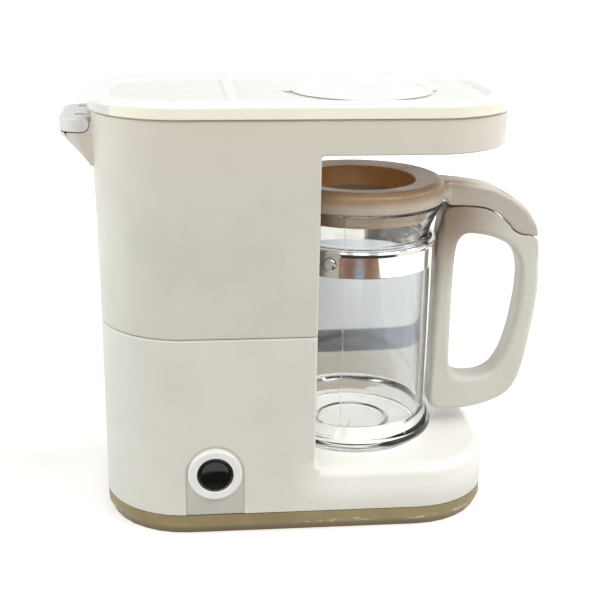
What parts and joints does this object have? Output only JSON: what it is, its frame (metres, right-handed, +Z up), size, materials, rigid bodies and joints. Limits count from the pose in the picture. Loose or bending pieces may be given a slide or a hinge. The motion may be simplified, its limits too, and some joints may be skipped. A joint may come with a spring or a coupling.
{
  "type": "toy coffee maker",
  "caption": "Toy drip coffee maker: column with tank and pump, overhang with filter cap, platform with push switch, lift-out clear carafe with lid and D handle.",
  "frame": {"origin": "centre of the flat underside, midway along the housing's width and depth", "axes": "+Z up; +X from the column towards the carafe and its handle; -Y towards the front, where the switch is"},
  "size_m": [0.1697, 0.082, 0.149],
  "materials": {
    "cream_plastic": "satin",
    "ivory_gloss": "gloss",
    "olive_plastic": "satin",
    "chrome": "polished",
    "clear_plastic": "gloss",
    "black_gloss": "polished",
    "white_gloss": "gloss",
    "steel": "satin",
    "motor_can": "satin",
    "battery_wrap": "gloss",
    "hose_silicone": "satin",
    "dark_plastic": "matte"
  },
  "bodies": {
    "housing": {"base_plate": "olive_plastic", "battery_door": "olive_plastic", "battery_door_screw": "steel", "base_screw_1": "steel", "base_screw_2": "steel", "base_screw_3": "steel", "base_screw_4": "steel", "battery_1": "battery_wrap", "battery_2": "battery_wrap", "contact_left": "steel", "contact_right": "steel", "lower_housing": "cream_plastic", "upper_housing": "cream_plastic", "top_cover": "ivory_gloss", "filter_basket": "white_gloss", "filler_pin": "steel", "switch_panel": "cream_plastic", "switch_ring": "white_gloss", "switch_nut": "steel", "switch_body": "dark_plastic", "pump_motor": "motor_can", "pump_head": "white_gloss", "inlet_hose": "hose_silicone", "water_tube": "hose_silicone", "water_tank": "clear_plastic"},
    "button": {"button_cap": "black_gloss"},
    "carafe": {"carafe_glass": "clear_plastic", "carafe_band": "chrome", "band_rivet": "chrome", "carafe_handle": "cream_plastic", "handle_screw": "steel"},
    "carafe_lid": {"carafe_lid": "cream_plastic"},
    "filter_cap": {"filter_cap": "ivory_gloss"},
    "filler_lid": {"filler_lid": "ivory_gloss"}
  },
  "joints": [
    {"name": "button_press", "type": "slide", "parent": "housing", "child": "button", "axis": [0, 1, 0], "range_m": [0, 0.0018], "stiffness_N_per_m": 200},
    {"name": "carafe_slide", "type": "slide", "parent": "housing", "child": "carafe", "axis": [1, 0, 0], "range_m": [0, 0.085]},
    {"name": "carafe_lid_lift", "type": "slide", "parent": "carafe", "child": "carafe_lid", "axis": [0, 0, 1], "range_m": [0, 0.011]},
    {"name": "filter_cap_lift", "type": "slide", "parent": "housing", "child": "filter_cap", "axis": [0, 0, 1], "range_m": [0, 0.03]},
    {"name": "filler_lid_hinge", "type": "hinge", "parent": "housing", "child": "filler_lid", "pos_m": [-0.0728, 0, 0.1392], "axis": [0, 1, 0], "range_deg": [0, 70]}
  ]
}
